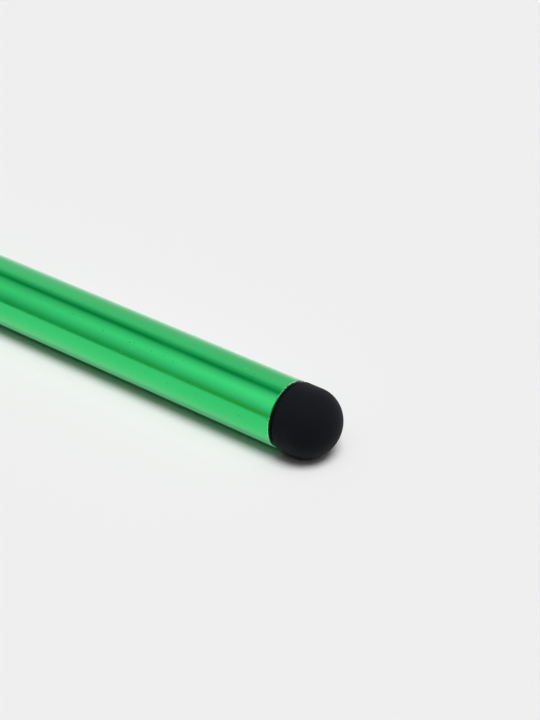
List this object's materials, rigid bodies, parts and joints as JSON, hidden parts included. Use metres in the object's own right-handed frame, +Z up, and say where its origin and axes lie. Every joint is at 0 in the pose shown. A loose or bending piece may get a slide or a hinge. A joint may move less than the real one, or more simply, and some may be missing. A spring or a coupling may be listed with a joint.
{
  "type": "stylus pen",
  "caption": "Slim twist-action ballpoint pen with a bright anodised metal barrel, a pocket clip and a soft rubber dome at its tail for touch screens.",
  "frame": {"origin": "on the pen's axis, at the seam end of the lower barrel, where the two halves turn against each other", "axes": "+X along the pen from the writing point to the touch tip, +Z up with the pen lying on a table, -Y the side that the picture shows"},
  "size_m": [0.1381, 0.0105, 0.0082],
  "materials": {
    "green_anodised": "polished",
    "touch_rubber": "matte",
    "turned_aluminium": "satin",
    "bright_trim": "polished",
    "white_acetal": "satin",
    "dark_acetal": "satin",
    "turned_brass": "satin",
    "spring_steel": "satin",
    "point_steel": "polished",
    "ink": "gloss"
  },
  "bodies": {
    "upper_barrel": {"upper_barrel": "green_anodised", "tip_carrier": "turned_aluminium", "guide_sleeve": "white_acetal"},
    "clip": {"pocket_clip": "bright_trim"},
    "dome": {"stylus_dome": "touch_rubber"},
    "lower_barrel": {"lower_barrel": "green_anodised", "centre_ring": "bright_trim", "coupling_bush": "turned_brass", "helix_rotor": "dark_acetal", "retaining_ring": "spring_steel", "thrust_washer": "white_acetal", "return_spring": "spring_steel", "nose_bush": "turned_brass", "nose_cone": "bright_trim"},
    "refill": {"slider": "white_acetal", "cross_pin": "spring_steel", "refill_tube": "turned_brass", "ink_column": "ink", "writing_point": "point_steel"},
    "ball": {"writing_ball": "point_steel"}
  },
  "joints": [
    {"name": "twist", "type": "hinge", "parent": "upper_barrel", "child": "lower_barrel", "pos_m": [0, 0, 0], "axis": [1, 0, 0], "range_deg": [0, 180]},
    {"name": "refill_feed", "type": "slide", "parent": "upper_barrel", "child": "refill", "axis": [-1, 0, 0], "range_m": [0, 0.006], "deforming": ["return_spring"]},
    {"name": "clip_flex", "type": "hinge", "parent": "upper_barrel", "child": "clip", "pos_m": [0.0627, 0.00367, -0.00159], "axis": [0, -0.3973, -0.9177], "range_deg": [0, 4], "stiffness_Nm_per_rad": 3.7},
    {"name": "dome_press", "type": "slide", "parent": "upper_barrel", "child": "dome", "axis": [-1, 0, 0], "range_m": [0, 0.001], "stiffness_N_per_m": 800, "deforming": ["stylus_dome"]},
    {"name": "ball_roll", "type": "hinge", "parent": "refill", "child": "ball", "pos_m": [-0.05625, 0, 0], "axis": [0, 1, 0], "continuous": true}
  ],
  "couplings": [
    {"joint": "twist", "follows": "refill_feed", "rad_per_m": 523.6}
  ]
}
